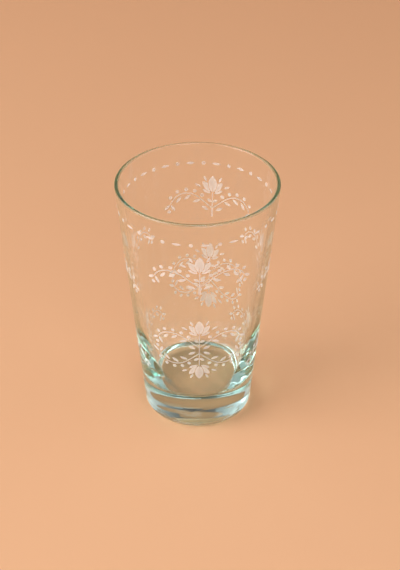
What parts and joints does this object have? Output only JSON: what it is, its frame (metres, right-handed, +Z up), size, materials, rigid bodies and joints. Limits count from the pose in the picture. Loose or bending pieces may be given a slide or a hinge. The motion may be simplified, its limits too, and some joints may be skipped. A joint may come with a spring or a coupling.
{
  "type": "drinking glass",
  "caption": "Tapered clear tumbler with a thick base, a rounded rim and a frosted pattern of flower sprays under a dashed border row.",
  "frame": {"origin": "centre of the base on the table plane", "axes": "+Z up along the axis of the glass, -Y towards the front spray, +X to the right of it"},
  "size_m": [0.08, 0.08, 0.132],
  "materials": {
    "clear_glass": "clear and glossy, faintly green in its thickness",
    "frost": "matt white frosting, half see-through"
  },
  "bodies": {
    "root": {"glass_body": "clear_glass", "border_dashes": "frost", "border_dots": "frost", "front_upper_flower": "frost", "front_upper_stems": "frost", "front_upper_leaves": "frost", "front_upper_berries": "frost", "right_upper_flower": "frost", "right_upper_stems": "frost", "right_upper_leaves": "frost", "right_upper_berries": "frost", "back_upper_flower": "frost", "back_upper_stems": "frost", "back_upper_leaves": "frost", "back_upper_berries": "frost", "left_upper_flower": "frost", "left_upper_stems": "frost", "left_upper_leaves": "frost", "left_upper_berries": "frost", "front_lower_flower": "frost", "front_lower_stems": "frost", "front_lower_leaves": "frost", "front_lower_berries": "frost", "right_lower_flower": "frost", "right_lower_stems": "frost", "right_lower_leaves": "frost", "right_lower_berries": "frost", "back_lower_flower": "frost", "back_lower_stems": "frost", "back_lower_leaves": "frost", "back_lower_berries": "frost", "left_lower_flower": "frost", "left_lower_stems": "frost", "left_lower_leaves": "frost", "left_lower_berries": "frost"}
  },
  "joints": []
}
